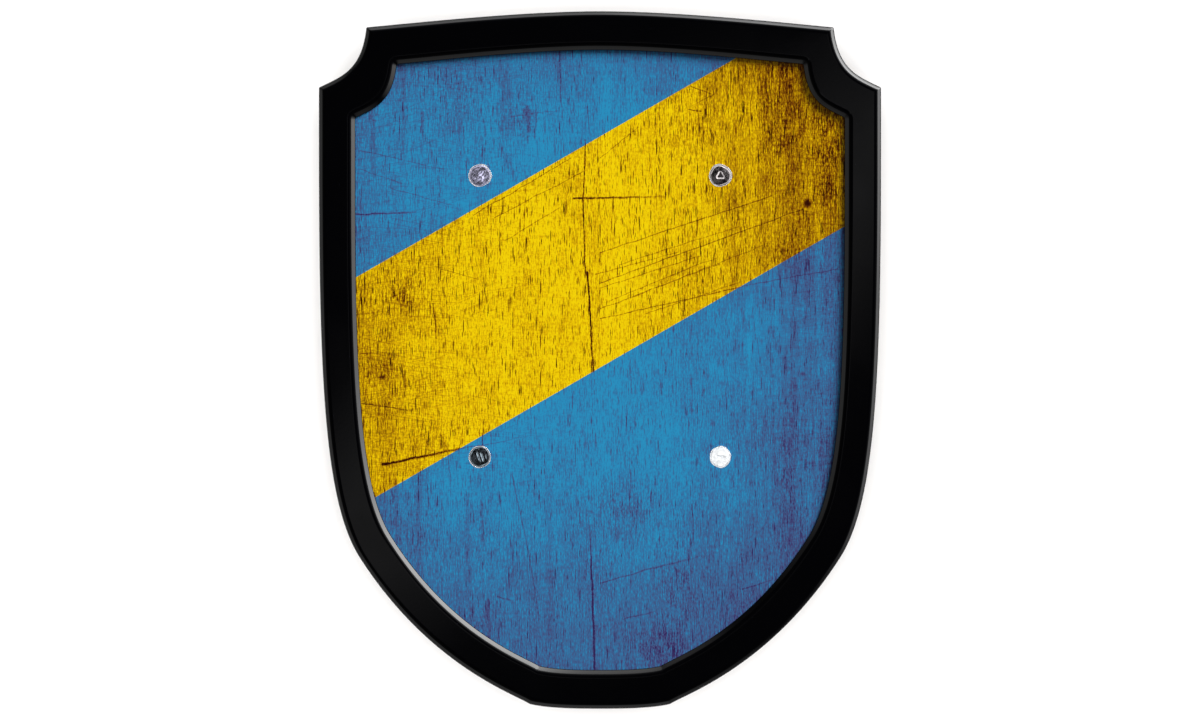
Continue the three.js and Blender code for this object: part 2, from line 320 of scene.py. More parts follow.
def worn_paint():
    finish, tree, shader, here = new_finish("worn blue and yellow paint")
    flat = add(tree, "VectorMath", {0: here, 1: (1, 1, 0)}, operation="MULTIPLY").outputs[0]
    apart = add(tree, "SeparateXYZ", {0: flat})
    x, y = apart.outputs["X"], apart.outputs["Y"]

    # The band rises to the right at thirty degrees, with a masked edge
    band_rise = math.tan(math.radians(30))
    band_low, band_high = -3.3, 96.2
    level = sum_of(tree, "SUBTRACT", y, sum_of(tree, "MULTIPLY", x, band_rise))
    above = fade(tree, level, band_low - 0.05, band_low + 0.05, kind="LINEAR")
    below = fade(tree, level, band_high + 0.05, band_high - 0.05, kind="LINEAR")
    band = sum_of(tree, "MULTIPLY", above, below)

    # The paint is brightest in the middle, and darker towards the sides, the top and the tip. The
    # darkening at the top is partly painted shade under the frame.
    wear_and_shade = sum_of(tree, "ADD", fade(tree, x, -50, -110, 0, 0.22), 0.055)
    wear_and_shade = sum_of(tree, "ADD", wear_and_shade, fade(tree, x, 4, 112, 0, 0.38))
    wear_and_shade = sum_of(tree, "ADD", wear_and_shade, fade(tree, y, -42, -132, 0, 0.38))
    wear_and_shade = sum_of(tree, "ADD", wear_and_shade, fade(tree, y, 102, 136, 0, 0.24))

    ragged_noise = add(tree, "TexNoise", {"Vector": stretched(tree, flat, (0.22, 0.1, 1)), "Scale": 1.0,
                                          "Detail": 5.0, "Roughness": 0.7}, noise_dimensions="2D")
    ragged = fade(tree, ragged_noise.outputs[0], 0.34, 0.62)
    # The patches hard by the opening's right edge are partly painted shade beside the frame.
    patches = (
        ((78, 104), (15, 42), 0.26),
        ((100, 96), (16, 34), 0.42),
        ((80, 46), (15, 12), 0.12),
        ((98, 72), (9, 9), 0.22),
        ((-84, 29), (15, 12), 0.3),
        ((-93, -10), (16, 34), 0.14),
        ((-34, 103), (17, 14), 0.26),
        ((-62, 112), (20, 22), 0.2),
        ((82, -52), (10, 50), 0.22),
        ((-60, 66), (15, 24), -0.2),
        ((74, 12), (36, 46), -0.23),
        ((102, -44), (15, 30), 0.24),
        ((8, -64), (27, 20), 0.29),
        ((-20, -20), (20, 34), -0.12),
        ((-100, 108), (14, 16), 0.14),
        ((-67, -32), (16, 14), 0.12),
        ((36, 100), (32, 22), 0.11),
        ((-82, 84), (22, 26), -0.08),
        ((-51, -112), (14, 14), 0.12),
        ((-82, -77), (12, 18), 0.12),
        ((-50, -76), (12, 22), 0.12),
        ((34, -100), (14, 24), 0.24),
        ((26, -124), (22, 16), 0.36),
        ((-4, -92), (16, 26), 0.12),
        ((62, -106), (16, 14), 0.12),
        ((6, 126), (24, 16), -0.1),
    )
    grime_and_shade = 0.0
    for (across, up), (wide, tall), dark in patches:
        grime_and_shade = place(tree, DARK_PATCH, {
            "Place": flat, "So far": grime_and_shade, "Ragged": ragged, "Dark": dark,
            "Middle": (across, up, 0), "Reach": (wide, tall, 1)})["Darkening"]
    # Cracks run with the grain and scratches across it, each a little wavy and broken
    sway = add(tree, "TexNoise", {"Vector": flat, "Scale": 0.08, "Detail": 4.0, "Roughness": 0.65},
               noise_dimensions="2D")
    sway_out = add(tree, "VectorMath", {0: sway.outputs["Color"], 1: (0.5, 0.5, 0.5)}, operation="SUBTRACT")
    swayed = add(tree, "VectorMath", {0: sway_out.outputs[0], 1: (1.6, 1.6, 0), 2: flat},
                 operation="MULTIPLY_ADD").outputs[0]
    gaps = add(tree, "TexNoise", {"Vector": flat, "Scale": 0.9, "Detail": 3.0, "Roughness": 0.7},
               noise_dimensions="2D")
    broken = fade(tree, gaps.outputs[0], 0.3, 0.52, 0.45, 1.2)
    lines = (
        ((-17.4, 133.1), (-16.8, 109.1), 0.9, 0.9, 0.4),
        ((-5.2, 109.1), (-4.3, 97.0), 0.8, 0.5, 0.4),
        ((-6.5, 94.9), (-7.1, 64.4), 0.9, 1.0, 0.7),
        ((-7.1, 66.6), (-6.2, 35.6), 0.9, 0.9, 0.9),
        ((-5.2, 37.8), (-2.8, -5.1), 1.2, 1.4, 0.7),
        ((-11.2, 69.5), (27.9, 70.3), 1.4, 1.2, 0.1),
        ((-104.9, 62.6), (-79.3, 63.6), 1.2, 0.75, 0.6),
        ((-103.5, 90.0), (-67.0, 82.0), 0.7, 0.4, 0.7),
        ((-103.0, 82.0), (-85.0, 76.0), 0.7, 0.4, 0.7),
        ((-90.0, 74.0), (-62.0, 66.0), 0.7, 0.35, 0.7),
        ((-76.5, 106.5), (-76.3, 98.0), 2.2, 0.4, 0.6),
        ((-98.0, 104.0), (-97.0, 80.0), 4.0, 0.18, 0.8),
        ((-84.5, 122.0), (-84.5, 84.0), 2.5, 0.16, 0.8),
        ((-31.0, 108.5), (-30.8, 98.5), 3.0, 0.42, 0.8),
        ((-27.6, 106.0), (-27.5, 99.0), 1.2, 0.4, 0.8),
        ((-54.5, 62.4), (-12.5, 86.8), 0.6, 0.5, 0.8),
        ((-45.5, 61.0), (-6.5, 81.6), 0.6, 0.45, 0.9),
        ((-40.8, 51.5), (-17.2, 65.3), 0.6, 0.4, 0.9),
        ((-38.2, 104.8), (-11.6, 108.2), 1.2, 0.35, 0.2),
        ((38.4, 117.9), (48.8, 114.2), 0.7, 0.5, 0.6),
        ((48.8, 114.2), (39.9, 109.7), 0.7, 0.45, 0.3),
        ((38.4, 107.9), (43.6, 106.8), 0.9, 0.7, 0.7),
        ((0, 86.8), (16.3, 100.1), 0.6, 0.5, 0.6),
        ((0, 46.2), (73.8, 70.6), 0.7, 0.5, 0.9),
        ((0, 33.2), (87.1, 64.7), 0.7, 0.5, 0.9),
        ((0, 31.0), (42.9, 44.7), 0.6, 0.45, 0.8),
        ((0, 22.1), (51.7, 41.4), 0.6, 0.45, 0.8),
        ((0, 17.7), (65.0, 32.5), 0.7, 0.5, 0.8),
        ((8.0, 41.0), (60.0, 57.5), 0.6, 0.4, 0.7),
        ((-2.0, 37.0), (34.0, 46.5), 0.6, 0.4, 0.8),
        ((14.0, 27.0), (72.0, 50.0), 0.6, 0.4, 0.7),
        ((4.0, 25.5), (50.0, 44.0), 0.6, 0.4, 0.8),
        ((20.0, 20.0), (60.0, 33.5), 0.6, 0.35, 0.8),
        ((65.0, 32.5), (102.0, 39.1), 0.8, 0.4, 0.8),
        ((-71.6, 24.3), (-70.4, 9.5), 0.9, 0.8, 0.6),
        ((-68.7, 39.1), (-52.4, 34.8), 0.6, 0.45, 0.6),
        ((-102.6, -18.5), (-82.7, -21.5), 0.8, 0.6, 0.6),
        ((-102.6, 3.0), (-88.4, 3.0), 0.7, 0.5, 0.4),
        ((-93.3, -44.9), (-60.5, -38.3), 1.7, 1.2, 0.4),
        ((-60.5, -38.3), (-29.3, -32.6), 0.8, 0.6, 0.1),
        ((-65.7, -37.3), (-63.1, -65.6), 0.7, 0.6, 0.3),
        ((-2.2, -133.1), (-3.6, -90.9), 1.3, 1.1, 0.9),
        ((-3.6, -90.9), (-4.7, -70.8), 1.1, 1.0, 0.2),
        ((-37.8, -49.4), (-30.9, -82.4), 0.9, 0.4, 0.9),
        ((-30.9, -82.4), (-26.2, -111.6), 1.1, 0.4, 0.5),
        ((12.9, 0), (13.7, -14.8), 0.7, 0.6, 0.6),
        ((27.9, 0), (28.3, -5.1), 0.8, 0.6, 0.6),
        ((11.4, -19.3), (11.8, -31.8), 0.6, 0.5, 0.6),
        ((13.0, -47.2), (13.0, -58.8), 0.7, 0.5, 0.6),
        ((39.5, -61.8), (40.3, -74.8), 0.8, 0.6, 0.6),
        ((60.9, -83.3), (61.5, -94.7), 0.9, 0.6, 0.6),
        ((32.6, -90.1), (32.8, -97.0), 0.8, 0.7, 0.6),
        ((0, -95.9), (18.4, -90.9), 1.0, 0.45, 0.9),
        ((18.4, -90.9), (42.9, -84.4), 1.2, 0.45, 0.4),
        ((61.3, -98.6), (73.6, -94.7), 1.0, 0.5, 0.5),
        ((9.9, -111.6), (23.6, -108.2), 0.9, 0.45, 0.5),
        ((-43.8, -102.0), (-38.6, -103.5), 1.3, 0.45, 0.7),
        ((82.0, 15.0), (82.0, -92.0), 12.0, 0.14, 0.9),
        ((81.5, 125.0), (81.5, 20.0), 13.0, 0.1, 0.7),
        ((90.3, 62.0), (90.6, -6.0), 6.5, 0.1, 0.8),
        ((71.5, 120.0), (71.0, 40.0), 5.0, 0.12, 0.8),
        ((-60.6, 128.0), (-60.4, 70.0), 5.0, 0.12, 0.5),
        ((-41.0, 124.0), (-40.0, 84.0), 8.5, 0.12, 0.8),
        ((-87.7, -52.0), (-87.5, -78.0), 3.0, 0.24, 0.5),
        ((-78.0, -50.0), (-77.5, -92.0), 4.5, 0.16, 0.9),
        ((-57.0, -58.0), (-56.5, -100.0), 4.0, 0.15, 0.8),
        ((-50.8, -62.0), (-50.2, -78.0), 2.2, 0.3, 0.5),
        ((-48.2, -104.0), (-48.0, -119.0), 3.0, 0.28, 0.7),
        ((-39.2, -92.0), (-38.8, -102.0), 1.0, 0.4, 0.6),
        ((-22.0, -50.0), (-21.5, -120.0), 5.0, 0.12, 0.9),
    )
    marks = 0.0
    for start, end, width, dark, left in lines:
        marks = place(tree, SCORED_LINE, {
            "Place": swayed, "So far": marks, "Broken": broken, "From": (*start, 0),
            "To": (*end, 0), "Width": width, "Dark": dark, "Left at end": left})["Marks"]
    knots = (
        ((89.1, 67.2), (2.4, 2.8), 0.9),
        ((87.1, -6.2), (1.6, 1.6), 0.6),
        ((-93.7, -7.5), (2.6, 1.4), 0.6),
    )
    for middle, reach, dark in knots:
        marks = place(tree, DARK_PATCH, {
            "Place": swayed, "So far": marks, "Ragged": 1.0, "Dark": dark,
            "Middle": (*middle, 0), "Reach": (*reach, 1)})["Darkening"]

    # A haze of hair scratches lies nearly level across the board, thickest to the left and thinnest
    # towards the tip
    haze = 0.0
    directions = ((0.05, 0.0, 0.6), (0.2, 37.0, 0.61), (-0.14, 71.0, 0.61), (-0.4, 113.0, 0.62))
    for turn, step_away, cut in directions:
        slanted = add(tree, "VectorMath", {0: stretched(tree, flat, (0.018, 1.7, 1), turn),
                                           1: (step_away, step_away, 0)}, operation="ADD").outputs[0]
        hairs = add(tree, "TexNoise", {"Vector": slanted, "Scale": 1.0, "Detail": 1.0, "Roughness": 0.7},
                    noise_dimensions="2D")
        haze = sum_of(tree, "MAXIMUM", haze, fade(tree, hairs.outputs[0], cut, cut + 0.12))
    thick = sum_of(tree, "ADD", fade(tree, x, 10, -70, 0.06, 0.18), fade(tree, x, 60, 100, 0, 0.08))
    thick = sum_of(tree, "MULTIPLY", thick, fade(tree, y, -30, -80, 1, 0.35))
    marks = sum_of(tree, "ADD", marks, sum_of(tree, "MULTIPLY", haze, thick))

    grain = place(tree, BEECH_GRAIN, {"Place": flat, "Fibre width": 0.5, "Pore share": 0.2})
    speckled = sum_of(tree, "MULTIPLY", grime_and_shade, fade(tree, grain["Fibres"], 0.36, 0.62, 0.35, 1.6, "LINEAR"))
    wear_and_shade = sum_of(tree, "ADD", wear_and_shade, speckled)
    wear_and_shade = sum_of(tree, "MULTIPLY_ADD", sum_of(tree, "SUBTRACT", grain["Bands"], 0.5), 0.34, wear_and_shade)
    clouds = add(tree, "TexNoise", {"Vector": flat, "Scale": 0.045, "Detail": 4.0, "Roughness": 0.6},
                 noise_dimensions="2D")
    wear_and_shade = sum_of(tree, "MULTIPLY_ADD", sum_of(tree, "SUBTRACT", clouds.outputs[0], 0.5), 0.3, wear_and_shade)
    # Long dark streaks follow the grain, plainest to the right
    streaks = add(tree, "TexNoise", {"Vector": stretched(tree, flat, (0.4, 0.011, 1)), "Scale": 1.0,
                                     "Detail": 2.0, "Roughness": 0.6}, noise_dimensions="2D")
    wear_and_shade = sum_of(tree, "MULTIPLY_ADD", sum_of(tree, "SUBTRACT", streaks.outputs[0], 0.5),
                  fade(tree, x, -10, 80, 0.1, 0.34), wear_and_shade)
    fibres = sum_of(tree, "MULTIPLY", sum_of(tree, "SUBTRACT", grain["Fibres"], 0.5),
                    fade(tree, wear_and_shade, 0.1, 0.6, 1.4, 1.9, "LINEAR"))
    wear_and_shade = sum_of(tree, "ADD", wear_and_shade, fibres)
    filled = sum_of(tree, "MULTIPLY", grain["Pores"], fade(tree, band, 0, 1, 0.66, 1.3, "LINEAR"))
    rows = add(tree, "TexNoise", {"Vector": stretched(tree, flat, (0.8, 0.012, 1)), "Scale": 1.0,
                                  "Detail": 1.0}, noise_dimensions="2D")
    filled = sum_of(tree, "MULTIPLY", filled, fade(tree, rows.outputs[0], 0.4, 0.62, 0.7, 1.5))
    wear_and_shade = sum_of(tree, "ADD", wear_and_shade, filled)
    wear_and_shade = sum_of(tree, "ADD", wear_and_shade, marks)

    blues = worn_colours(tree, wear_and_shade, (
        (0.0, (43, 150, 199)), (0.15, (46, 133, 185)), (0.3, (55, 119, 170)), (0.5, (63, 100, 150)),
        (0.66, (69, 86, 134)), (0.85, (68, 68, 118)), (1.05, (62, 50, 108)), (1.2, (52, 34, 84))))
    yellows = worn_colours(tree, wear_and_shade, (
        (0.0, (255, 220, 5)), (0.14, (238, 192, 1)), (0.26, (217, 168, 1)), (0.4, (190, 143, 2)),
        (0.6, (152, 100, 2)), (0.78, (121, 67, 2)), (1.0, (80, 34, 2)), (1.2, (48, 12, 1))))

    colour = add(tree, "Mix", {"Factor": band, 6: blues, 7: yellows}, data_type="RGBA")
    tree.links.new(colour.outputs[2], shader.inputs["Base Color"])

    shader.inputs["Specular IOR Level"].default_value = 0.12
    dullness = fade(tree, wear_and_shade, 0, 1, 0.42, 0.72, "LINEAR")
    tree.links.new(dullness, shader.inputs["Roughness"])
    height = sum_of(tree, "SUBTRACT", sum_of(tree, "MULTIPLY", grain["Fibres"], 0.5), grain["Pores"])
    tree.links.new(bump(tree, height, 0.012), shader.inputs["Normal"])
    return finish


def bare_plywood():
    finish, tree, shader, here = new_finish("bare beech plywood")
    z = add(tree, "SeparateXYZ", {0: here}).outputs["Z"]
    grain = place(tree, BEECH_GRAIN, {"Place": here, "Fibre width": 0.8, "Pore share": 0.3})
    tone = sum_of(tree, "MULTIPLY_ADD", grain["Bands"], 0.5, sum_of(tree, "MULTIPLY", grain["Fibres"], 0.5))
    veneer = add(tree, "ValToRGB", {0: fade(tree, tone, 0.34, 0.66)})
    veneer.color_ramp.elements[0].color = (0.36, 0.19, 0.085, 1)
    veneer.color_ramp.elements[1].color = (0.62, 0.41, 0.22, 1)
    # Sawn through, every other ply shows its darker end grain
    ply = 1.0
    layer = sum_of(tree, "PINGPONG", sum_of(tree, "SUBTRACT", z, BACK_Z * 1000), ply)
    end_grain = fade(tree, layer, 0.4 * ply, 0.6 * ply, 0, 0.75)
    pores = sum_of(tree, "MULTIPLY", grain["Pores"], 0.7)
    darker = sum_of(tree, "MAXIMUM", end_grain, pores)
    colour = add(tree, "Mix", {"Factor": darker, 6: veneer.outputs[0], 7: (0.16, 0.075, 0.032, 1)},
                 data_type="RGBA")
    tree.links.new(colour.outputs[2], shader.inputs["Base Color"])
    dullness = fade(tree, grain["Fibres"], 0.3, 0.7, 0.62, 0.8)
    tree.links.new(dullness, shader.inputs["Roughness"])
    height = sum_of(tree, "SUBTRACT", grain["Fibres"], grain["Pores"])
    tree.links.new(bump(tree, height, 0.06), shader.inputs["Normal"])
    return finish


def sawn_sheet(name, levels, holes, materials):
    """A flat sheet with round holes. levels run from the back to the face, each a loop and its
    height. The face and its eased edge take the first material, and all the rest the second."""
    points, walls = [], []
    for loop, z in levels:
        points += [(x, y, z) for x, y in loop]
    count = len(levels[0][0])
    for level in range(len(levels) - 1):
        for i in range(count):
            a, b = level * count + i, level * count + (i + 1) % count
            walls.append(((b, a, a + count, b + count), level == len(levels) - 2))
    rims = []
    for z in (levels[0][1], levels[-1][1]):
        for x, y, radius in holes:
            start = len(points)
            turns = [2 * math.pi * i / 24 for i in range(24)]
            points += [(x + radius * math.cos(t), y + radius * math.sin(t), z) for t in turns]
            rims.append(list(range(start, start + 24)))
    for low, high in zip(rims[:len(holes)], rims[len(holes):]):
        for i in range(24):
            j = (i + 1) % 24
            walls.append(((low[i], low[j], high[j], high[i]), False))
    ends = (
        (list(range(count)), rims[:len(holes)], False),
        (list(range((len(levels) - 1) * count, len(levels) * count)), rims[len(holes):], True))
    faces, painted = [face for face, _ in walls], [paint for _, paint in walls]
    for outer, inner, is_face in ends:
        loops = [[Vector(points[i]) for i in loop] for loop in [outer, *inner]]
        order = [i for loop in [outer, *inner] for i in loop]
        for triangle in tessellate_polygon(loops):
            corners = [order[i] for i in triangle]
            a, b, c = (Vector(points[i]) for i in corners)
            upwards = (b - a).cross(c - a).z > 0
            faces.append(tuple(corners if upwards == is_face else corners[::-1]))
            painted.append(is_face)
    return new_piece(name, points, faces, materials, [0 if paint else 1 for paint in painted], False)


rivet_places = {
    (row, side): (x, y)
    for side, x in (("left", -RIVET_HALF_SPACING), ("right", RIVET_HALF_SPACING))
    for row, y in (("upper", UPPER_RIVETS), ("lower", LOWER_RIVETS))
}
tongue = REBATE - REBATE_GAP
eased = 0.0002
panel = sawn_sheet(
    "painted_panel",
    [(shield_loop(OPENING_SCALE, -tongue + eased, tongue + 0.0012), BACK_Z),
     (shield_loop(OPENING_SCALE, -tongue, tongue + 0.0012), BACK_Z + eased),
     (shield_loop(OPENING_SCALE, -tongue, tongue + 0.0012), PANEL_FACE_Z)],
    [(x, y, RIVET_HOLE_RADIUS) for x, y in rivet_places.values()],
    [worn_paint(), bare_plywood()],
)
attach(panel, "root")
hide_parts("panel")


# The frame is a flat wooden moulding, 8 mm thick, glued up round the panel, with a chamfer on both
# of its front edges. It is lacquered gloss black, and its back is left duller.
FRAME_FACE_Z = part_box("frame")[1][2]
OUTER_CHAMFER = 0.0022
INNER_CHAMFER = 0.0024
OUTER_CORNER = 0.0007
OPENING_CORNER = 0.0012


def smudges():
    """Faint uneven patches and fine specks, as on anything glossy that has been handled."""
    sockets = {"Place": ("Vector", None), "Patch size": ("Float", 20.0), "Speck size": ("Float", 1.0)}
    tree, given, made = new_effect("smudges", sockets, ("Patches", "Specks"))
    patch_scale = sum_of(tree, "DIVIDE", 1, given["Patch size"])
    near = add(tree, "VectorMath", {0: given["Place"], "Scale": patch_scale}, operation="SCALE")
    patches = add(tree, "TexNoise", {"Vector": near.outputs[0], "Scale": 1.0, "Detail": 4.0,
                                     "Distortion": 0.6})
    tree.links.new(fade(tree, patches.outputs[0], 0.35, 0.65), made["Patches"])
    speck_scale = sum_of(tree, "DIVIDE", 1, given["Speck size"])
    fine = add(tree, "VectorMath", {0: given["Place"], "Scale": speck_scale}, operation="SCALE")
    specks = add(tree, "TexNoise", {"Vector": fine.outputs[0], "Scale": 1.0, "Detail": 2.0})
    tree.links.new(specks.outputs[0], made["Specks"])
    return tree


SMUDGES = smudges()


def black_lacquer():
    finish, tree, shader, here = new_finish("black lacquer")
    z = add(tree, "SeparateXYZ", {0: here}).outputs["Z"]
    handled = place(tree, SMUDGES, {"Place": here, "Patch size": 34.0, "Speck size": 1.4})
    front = fade(tree, z, BACK_Z * 1000 + 0.6, BACK_Z * 1000 + 2.5)
    colour = add(tree, "Mix", {"Factor": front, 6: (0.011, 0.0105, 0.010, 1),
                               7: (0.0005, 0.0005, 0.0009, 1)}, data_type="RGBA")
    tree.links.new(colour.outputs[2], shader.inputs["Base Color"])
    gloss = sum_of(tree, "MULTIPLY_ADD", handled["Patches"], 0.03, 0.07)
    dull = sum_of(tree, "MULTIPLY_ADD", handled["Patches"], 0.1, 0.42)
    rough = add(tree, "Mix", {"Factor": front, 2: dull, 3: gloss})
    tree.links.new(rough.outputs[0], shader.inputs["Roughness"])
    tree.links.new(bump(tree, handled["Specks"], 0.002), shader.inputs["Normal"])
    return finish


def eased_corner(before, corner, after, ease, steps=4):
    """Points of the profile round one of its corners, eased along both of its legs."""
    before, corner, after = (np.array(p) for p in (before, corner, after))
    start = corner + (before - corner) / np.linalg.norm(before - corner) * ease
    end = corner + (after - corner) / np.linalg.norm(after - corner) * ease
    t = np.linspace(0, 1, steps + 1)[:, None]
    return list((1 - t) ** 2 * start + 2 * (1 - t) * t * corner + t**2 * end)


def moulding():
    """The frame's mesh: its section carried round the shield. The section's points are an inset
    and a height, first from the outline and then from the opening."""
    back, face = BACK_Z, FRAME_FACE_Z
    outer = [
        *eased_corner((0.004, back), (0, back), (0, face), 0.0004, 3),
        *eased_corner((0, back), (0, face - OUTER_CHAMFER), (OUTER_CHAMFER, face), 0.0006),
        *eased_corner((0, face - OUTER_CHAMFER), (OUTER_CHAMFER, face), (0.01, face), 0.0011, 8),
    ]
    wall_foot, ledge = PANEL_FACE_Z, REBATE
    inner = [
        *eased_corner((-0.01, face), (-INNER_CHAMFER, face), (0, face - INNER_CHAMFER), 0.0011, 8),
        *eased_corner((-INNER_CHAMFER, face), (0, face - INNER_CHAMFER), (0, wall_foot), 0.0003),
        np.array((0, wall_foot)),
        np.array((-ledge, wall_foot)),
        *eased_corner((-ledge, wall_foot), (-ledge, back), (-0.01, back), 0.0003, 2),
    ]
    levels = []
    for inset, z in outer:
        levels.append((shield_loop((1, 1), inset, OUTER_CORNER), z))
    for inset, z in inner:
        levels.append((shield_loop(OPENING_SCALE, inset, OPENING_CORNER - inset), z))
    count = len(levels[0][0])
    points = [(x, y, z) for loop, z in levels for x, y in loop]
    faces = []
    for level in range(len(levels)):
        onward = (level + 1) % len(levels)
        for i in range(count):
            j = (i + 1) % count
            faces.append((level * count + j, level * count + i, onward * count + i, onward * count + j))
    return points, faces


frame_piece = new_piece("frame_moulding", *moulding(), [black_lacquer()])
frame_piece.modifiers.new("flat faces", "WEIGHTED_NORMAL").keep_sharp = True
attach(frame_piece, "root")
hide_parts("frame")


# The two arm straps are strips of brown leather, 25 mm wide and 2.5 mm thick, with rounded ends
# and a crease along both edges. Each is riveted behind one column of rivets and hangs in a loop,
# on which the shield lies.
STRAP_WIDTH = 0.025
STRAP_THICKNESS = 0.0025
STRAP_TAB = 0.0115
STRAP_TAB_CORNER = 0.009
STRAP_FLAT_HALF = 0.020
STRAP_LEAVES_BOARD = 0.009
STRAP_BEND = 0.015
STRAP_CREASE_IN = 0.0022
STRAP_CREASE_DEPTH = 0.00018


def brown_leather():
    finish, tree, shader, here = new_finish("brown leather")
    handled = place(tree, SMUDGES, {"Place": here, "Patch size": 9.0, "Speck size": 0.5})
    pebbles = add(tree, "TexVoronoi", {"Vector": here, "Scale": 1.5, "Randomness": 1.0},
                  feature="SMOOTH_F1")
    wrinkles = add(tree, "TexNoise", {"Vector": stretched(tree, here, (0.25, 1.1, 0.7)), "Scale": 1.0,
                                      "Detail": 5.0, "Roughness": 0.7})
    tone = sum_of(tree, "MULTIPLY_ADD", handled["Patches"], 0.55,
                  sum_of(tree, "MULTIPLY", wrinkles.outputs[0], 0.6))
    hide = add(tree, "ValToRGB", {0: tone})
    hide.color_ramp.elements[0].color = (0.022, 0.0105, 0.006, 1)
    hide.color_ramp.elements[0].position = 0.15
    hide.color_ramp.elements[1].color = (0.085, 0.042, 0.023, 1)
    hide.color_ramp.elements[1].position = 0.95
    tree.links.new(hide.outputs[0], shader.inputs["Base Color"])
    dull = sum_of(tree, "MULTIPLY_ADD", handled["Specks"], 0.25, 0.36)
    tree.links.new(dull, shader.inputs["Roughness"])
    height = sum_of(tree, "MULTIPLY_ADD", pebbles.outputs["Distance"], 0.8,
                    sum_of(tree, "MULTIPLY", wrinkles.outputs[0], 1.2))
    tree.links.new(bump(tree, height, 0.12), shader.inputs["Normal"])
    return finish


def strap_line():
    """The strap's middle line from its upper end to its lower, as (place along it, height)."""
    half = (UPPER_RIVETS - LOWER_RIVETS) / 2
    high, low = BACK_Z - STRAP_THICKNESS / 2, STRAP_THICKNESS / 2
    leaves = half - STRAP_LEAVES_BOARD
    bend = along(((leaves, high), (leaves - STRAP_BEND, high), (STRAP_FLAT_HALF + STRAP_BEND, low),
                  (STRAP_FLAT_HALF, low)))
    right = np.concatenate([[(half + STRAP_TAB, high)], bend])
    return np.concatenate([right, mirrored(right)])


def strap_section(half_width, thickness, crease):
    """Half of the strap's section, as (across, depth) points round it from one side."""
    edge = min(0.0009, half_width * 0.4)
    rounds = [math.radians(a) for a in (90, 60, 30, 0)]
    half_thick = thickness / 2
    corner = [(half_width - edge + edge * math.cos(a), half_thick * math.sin(a)) for a in rounds]
    line = half_width - STRAP_CREASE_IN
    top = [(line * share, half_thick) for share in (0, 0.35, 0.7)]
    top += [(line - 0.0004, half_thick), (line, half_thick - crease), (line + 0.0004, half_thick)]
    quarter = top + corner
    lower = [(u, -v) for u, v in reversed(quarter[:-1])]
    right = quarter + lower
    left = [(-u, v) for u, v in reversed(right[1:-1])]
    return right + left


def strap_mesh(x, seed):
    line = strap_line()
    run = lengths(line)
    ends = [0.0, 0.00015, 0.0004, 0.0008, 0.0014, 0.0022, 0.0032, 0.0045, 0.0060, 0.0075, 0.009]
    inner = np.linspace(0.0105, run[-1] - 0.0105, 110)
    stations = [*ends, *inner, *(run[-1] - e for e in reversed(ends))]
    middle = (UPPER_RIVETS + LOWER_RIVETS) / 2
    points, faces = [], []
    for station in stations:
        along_y, z = (np.interp(station, run, line[:, axis]) for axis in (0, 1))
        ahead = [np.interp(station + 0.0008, run, line[:, axis]) for axis in (0, 1)]
        behind = [np.interp(station - 0.0008, run, line[:, axis]) for axis in (0, 1)]
        heading = np.array(ahead) - behind
        heading /= np.linalg.norm(heading)
        facing = np.array((heading[1], -heading[0]))
        from_end = min(station, run[-1] - station)
        short = max(0.0, STRAP_TAB_CORNER - from_end)
        half_width = STRAP_WIDTH / 2 - STRAP_TAB_CORNER + math.sqrt(STRAP_TAB_CORNER**2 - short**2)
        thickness = STRAP_THICKNESS * (0.55 + 0.45 * min(1.0, from_end / 0.0008) ** 0.5)
        crease = STRAP_CREASE_DEPTH * min(1.0, from_end / 0.004)
        for u, v in strap_section(half_width, thickness, crease):
            y, up = along_y + facing[0] * v, z + facing[1] * v
            free = min(1.0, max(0.0, (z - STRAP_THICKNESS) / 0.004, 0.0), max(0.0, (0.029 - z) / 0.002))
            wave = noise.noise(Vector((u * 90, station * 60, seed))) * 0.00015 * free
            narrower = 1 - 0.008 * (1 + noise.noise(Vector((seed * 3.1, station * 45, 0))))
            points.append((x + u * narrower, middle + y, max(0.0, up + wave)))
    count = len(strap_section(0.01, 0.002, 0))
    for s in range(len(stations) - 1):
        for i in range(count):
            j = (i + 1) % count
            faces.append((s * count + i, s * count + j, (s + 1) * count + j, (s + 1) * count + i))
    faces.append(tuple(reversed(range(count))))
    faces.append(tuple(range((len(stations) - 1) * count, len(stations) * count)))
    return points, faces


leather = brown_leather()
for seed, (side, x) in enumerate((("left", -RIVET_HALF_SPACING), ("right", RIVET_HALF_SPACING))):
    strap = new_piece(f"leather_strap_{side}", *strap_mesh(x, seed + 1.0), [leather])
    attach(strap, "root")
    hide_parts(f"arm_strap_{side}")


# The rivets are nickel-plated steel. Each goes through the panel and a strap's end, and is
# hammered down: its head in front is a dished cap with a rolled rim, a little different on each,
# and its tail behind is clenched flat on the leather.
HEAD_RADIUS = 0.00515
HEAD_HEIGHT = 0.0015
SHANK_RADIUS = 0.0020
TAIL_RADIUS = 0.0042
TAIL_HEIGHT = 0.0013
ROUND = 96


